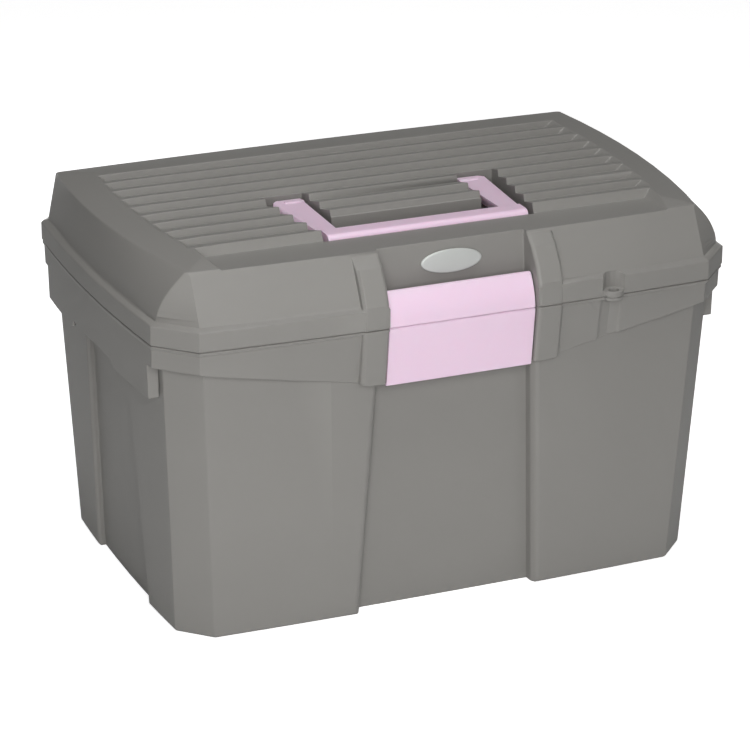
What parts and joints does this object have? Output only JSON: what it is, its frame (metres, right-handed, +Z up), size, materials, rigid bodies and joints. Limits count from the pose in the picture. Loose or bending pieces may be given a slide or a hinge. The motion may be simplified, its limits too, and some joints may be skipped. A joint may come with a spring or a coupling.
{
  "type": "grooming tack box",
  "caption": "Moulded plastic tack box with a hinged ribbed lid, a recessed bail handle, a folding front latch, a padlock eye and a lift-out tray.",
  "frame": {"origin": "centre of the tub's base, on the surface that the box stands on", "axes": "+Z up, +X along the box's length with the padlock eye on the +X side, -Y to the front with the latch"},
  "size_m": [0.4, 0.28, 0.2474],
  "materials": {
    "grey_plastic": "satin moulded",
    "pink_plastic": "smooth moulded",
    "silver_badge": "metallised, bare",
    "steel": "plain",
    "tray_plastic": "satin moulded"
  },
  "bodies": {
    "tub": {"tub": "grey_plastic", "hinge_pin_left": "steel", "hinge_pin_right": "steel"},
    "lid": {"lid": "grey_plastic", "badge": "silver_badge", "latch_pin": "steel", "handle_pin_left": "steel", "handle_pin_right": "steel"},
    "handle": {"handle": "pink_plastic"},
    "latch_upper": {"latch_upper": "pink_plastic"},
    "latch_lower": {"latch_lower": "pink_plastic"},
    "tray": {"tray": "tray_plastic", "tray_divider_left": "tray_plastic", "tray_divider_right": "tray_plastic"}
  },
  "joints": [
    {"name": "lid_hinge", "type": "hinge", "parent": "tub", "child": "lid", "pos_m": [0, 0.13729, 0.1993], "axis": [-1, 0, 0], "range_deg": [0, 100]},
    {"name": "handle_pivot", "type": "hinge", "parent": "lid", "child": "handle", "pos_m": [0, -0.0045, 0.2388], "axis": [-1, 0, 0], "range_deg": [0, 95]},
    {"name": "latch_pivot", "type": "hinge", "parent": "lid", "child": "latch_upper", "pos_m": [0, -0.1236, 0.2166], "axis": [-1, 0, 0], "range_deg": [0, 95]},
    {"name": "latch_fold", "type": "hinge", "parent": "latch_upper", "child": "latch_lower", "pos_m": [0, -0.1327, 0.198], "axis": [-1, 0, 0], "range_deg": [0, 110], "stiffness_Nm_per_rad": 0.01, "springref_deg": -8.59},
    {"name": "tray_lift", "type": "slide", "parent": "tub", "child": "tray", "axis": [0, 0, 1], "range_m": [0, 0.02]}
  ]
}
